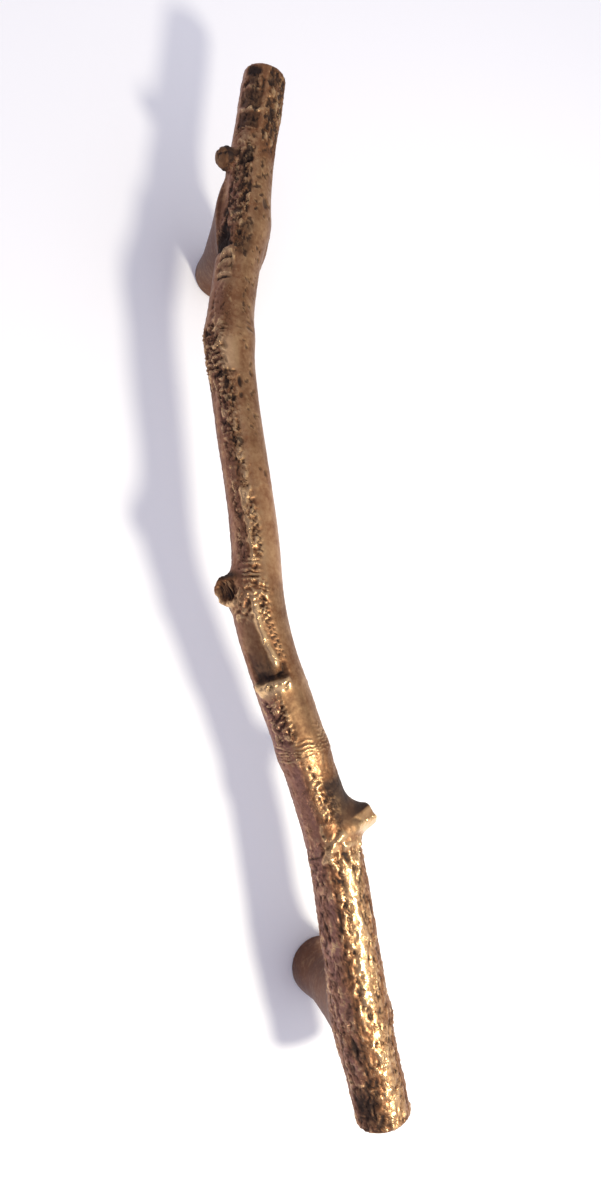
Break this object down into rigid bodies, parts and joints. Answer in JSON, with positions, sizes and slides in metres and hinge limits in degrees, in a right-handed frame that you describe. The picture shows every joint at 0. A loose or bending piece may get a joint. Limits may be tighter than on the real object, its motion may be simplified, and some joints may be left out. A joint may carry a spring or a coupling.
{
  "type": "branch-shaped pull handle",
  "caption": "Pull handle cast in bronze in the shape of a pruned tree branch, standing off the door on round posts; bark relief, knots and a sawn side twig.",
  "frame": {"origin": "under the middle of the handle's outline, in the plane that its two feet stand on", "axes": "+Z away from the door, +Y along the grip from its thick end to its thin end, +X to the side that the sawn side twig is on"},
  "size_m": [0.0659, 0.4688, 0.0768],
  "materials": {
    "bark_bronze": "cast bronze, brown patina in the hollows of the bark and rubbed golden on the high places",
    "smooth_bronze": "cast bronze, smooth, with an even brown patina"
  },
  "bodies": {
    "root": {"grip": "bark_bronze", "lower_post": "smooth_bronze", "upper_post": "smooth_bronze", "side_twig": "bark_bronze", "middle_knot": "bark_bronze", "end_knot": "bark_bronze"}
  },
  "joints": []
}
